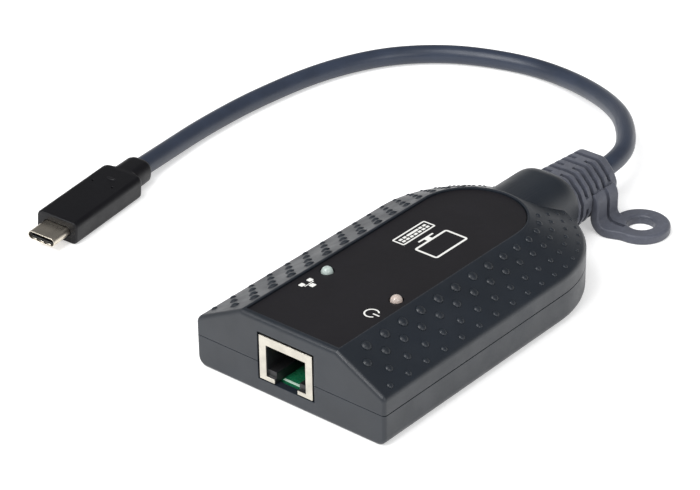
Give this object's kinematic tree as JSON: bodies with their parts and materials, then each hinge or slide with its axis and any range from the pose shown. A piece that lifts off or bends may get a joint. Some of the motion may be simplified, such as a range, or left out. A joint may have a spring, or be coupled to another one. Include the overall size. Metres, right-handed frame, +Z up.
{
  "type": "KVM adapter",
  "caption": "Black KVM adapter with a network jack in its front, two lamps in its top plate, and a short cable with a USB-C plug.",
  "frame": {"origin": "centre of the housing's flat underside", "axes": "+Z up from the underside, +Y from the jack face to the cable end, +X to the right of someone who faces the jack"},
  "size_m": [0.1365, 0.1743, 0.0207],
  "materials": {
    "housing_plastic": "matte",
    "plate_plastic": "matte",
    "inner_plastic": "matte",
    "white_plastic": "satin",
    "clear_lens": "gloss",
    "circuit_board": "satin",
    "tinned_sheet": "satin",
    "screw_steel": "satin",
    "plug_steel": "satin",
    "gold_contact": "polished",
    "boot_rubber": "matte",
    "cable_jacket": "satin",
    "plug_plastic": "matte"
  },
  "bodies": {
    "adapter": {"top_cover": "housing_plastic", "base_cover": "housing_plastic", "top_plate": "plate_plastic", "housing_screws": "screw_steel", "main_board": "circuit_board", "board_screws": "screw_steel", "jack_shield": "tinned_sheet", "jack_housing": "inner_plastic", "video_processor": "inner_plastic", "frame_memory": "inner_plastic", "network_chip": "inner_plastic", "flash_memory": "inner_plastic", "line_transformer": "inner_plastic", "clock_crystal": "tinned_sheet", "supply_capacitors": "tinned_sheet", "supply_inductor": "inner_plastic", "small_passives": "white_plastic", "cable_header": "white_plastic", "header_plug": "white_plastic", "lead_wires": "white_plastic", "link_lamp": "clear_lens", "power_lamp": "clear_lens", "lamp_spacers": "inner_plastic", "lamp_leads": "tinned_sheet", "cable_boot": "boot_rubber", "tie_lug": "boot_rubber", "crimp_ring": "tinned_sheet", "cable_tail": "cable_jacket", "usb_cable": "cable_jacket", "plug_cover": "plug_plastic", "plug_shell": "plug_steel", "plug_insert": "inner_plastic", "plug_contacts": "gold_contact", "plug_springs": "plug_steel", "plug_board": "circuit_board"},
    "contacts": {"jack_contacts": "gold_contact"}
  },
  "joints": [
    {"name": "contact_flex", "type": "hinge", "parent": "adapter", "child": "contacts", "pos_m": [-0.0008, -0.0457, 0.0133], "axis": [1, 0, 0], "range_deg": [0, 12], "stiffness_Nm_per_rad": 0.005}
  ]
}
